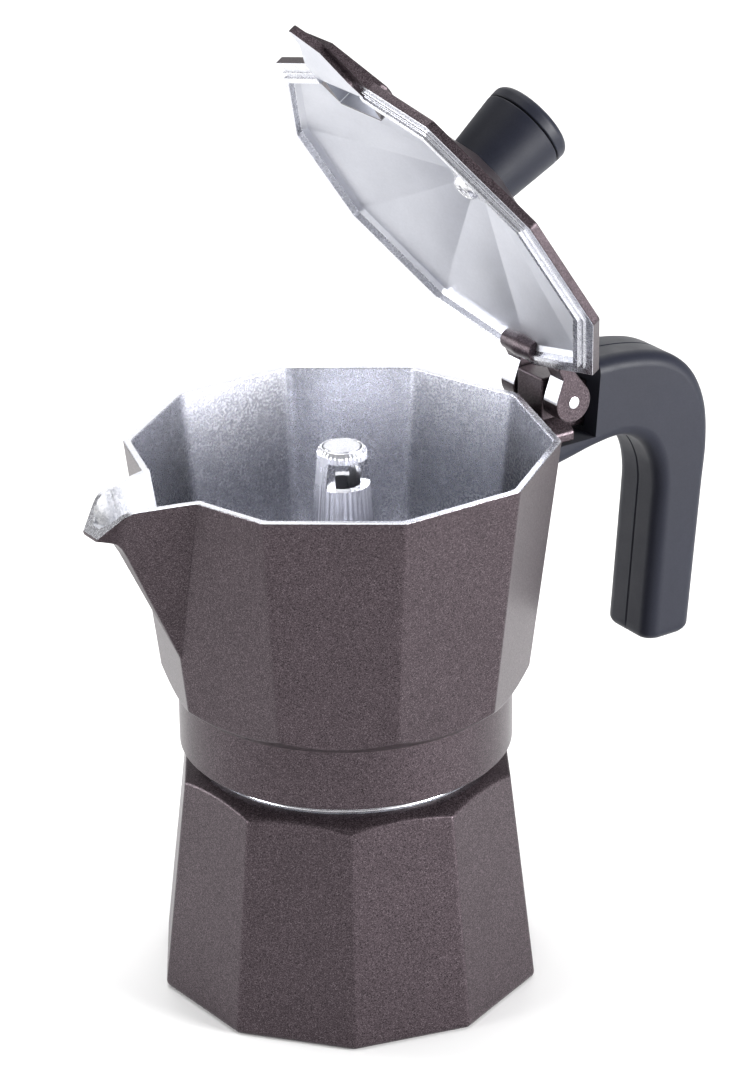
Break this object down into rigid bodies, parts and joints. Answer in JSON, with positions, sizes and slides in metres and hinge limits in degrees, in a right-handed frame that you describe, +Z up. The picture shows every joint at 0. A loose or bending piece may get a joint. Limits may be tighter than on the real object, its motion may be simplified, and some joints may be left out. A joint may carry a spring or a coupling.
{
  "type": "moka pot",
  "caption": "Stovetop moka pot: faceted boiler, screw-on collector with V spout and column, hinged lid with knob, side handle, funnel, gasket and safety valve.",
  "frame": {"origin": "centre of the boiler's flat base", "axes": "+Z up, +X toward the handle and lid hinge, -X toward the spout"},
  "size_m": [0.1728, 0.0986, 0.2395],
  "materials": {
    "paint": "cast aluminium under taupe metallic paint with fine fleck; bare inside",
    "bare_aluminium": "bare satin",
    "plastic": "matte blue-black, moulded",
    "steel": "zinc-plated or stainless",
    "brass": "turned",
    "seal": "white silicone"
  },
  "bodies": {
    "base_unit": {"boiler": "paint", "valve_body": "brass", "valve_washer": "seal", "valve_nut": "brass", "valve_spring": "steel", "valve_retainer": "brass"},
    "relief_plunger": {"valve_plunger": "steel"},
    "funnel": {"funnel_cup": "bare_aluminium", "funnel_tube": "bare_aluminium", "funnel_strainer": "bare_aluminium"},
    "seal_stack": {"gasket": "seal", "filter_plate": "bare_aluminium"},
    "upper_unit": {"collector": "paint", "column": "bare_aluminium", "column_plug": "bare_aluminium", "hinge_pin": "steel", "handle": "plastic", "handle_screw": "steel"},
    "lid_unit": {"lid": "paint", "knob": "plastic", "knob_cap": "plastic", "knob_insert": "brass", "knob_screw": "steel", "knob_washer": "steel"}
  },
  "joints": [
    {"name": "relief_lift", "type": "slide", "parent": "base_unit", "child": "relief_plunger", "axis": [0.2504, 0.9681, 0], "range_m": [0, 0.0012], "stiffness_N_per_m": 1000, "springref_m": -0.002, "deforming": ["valve_spring"]},
    {"name": "funnel_lift", "type": "slide", "parent": "base_unit", "child": "funnel", "axis": [0, 0, 1], "range_m": [0, 0.0021]},
    {"name": "thread_rise", "type": "slide", "parent": "base_unit", "child": "seal_stack", "axis": [0, 0, 1], "range_m": [0, 0.0081]},
    {"name": "unscrew", "type": "hinge", "parent": "seal_stack", "child": "upper_unit", "pos_m": [0, 0, 0.0605], "axis": [0, 0, 1], "range_deg": [0, 720]},
    {"name": "lid_hinge", "type": "hinge", "parent": "upper_unit", "child": "lid_unit", "pos_m": [0.0594, 0, 0.1367], "axis": [0, 1, 0], "range_deg": [-55.8, 50]}
  ],
  "couplings": [
    {"joint": "thread_rise", "follows": "unscrew", "m_per_rad": 0.00063662},
    {"joint": "funnel_lift", "follows": "unscrew", "m_per_rad": 0.00015915}
  ]
}
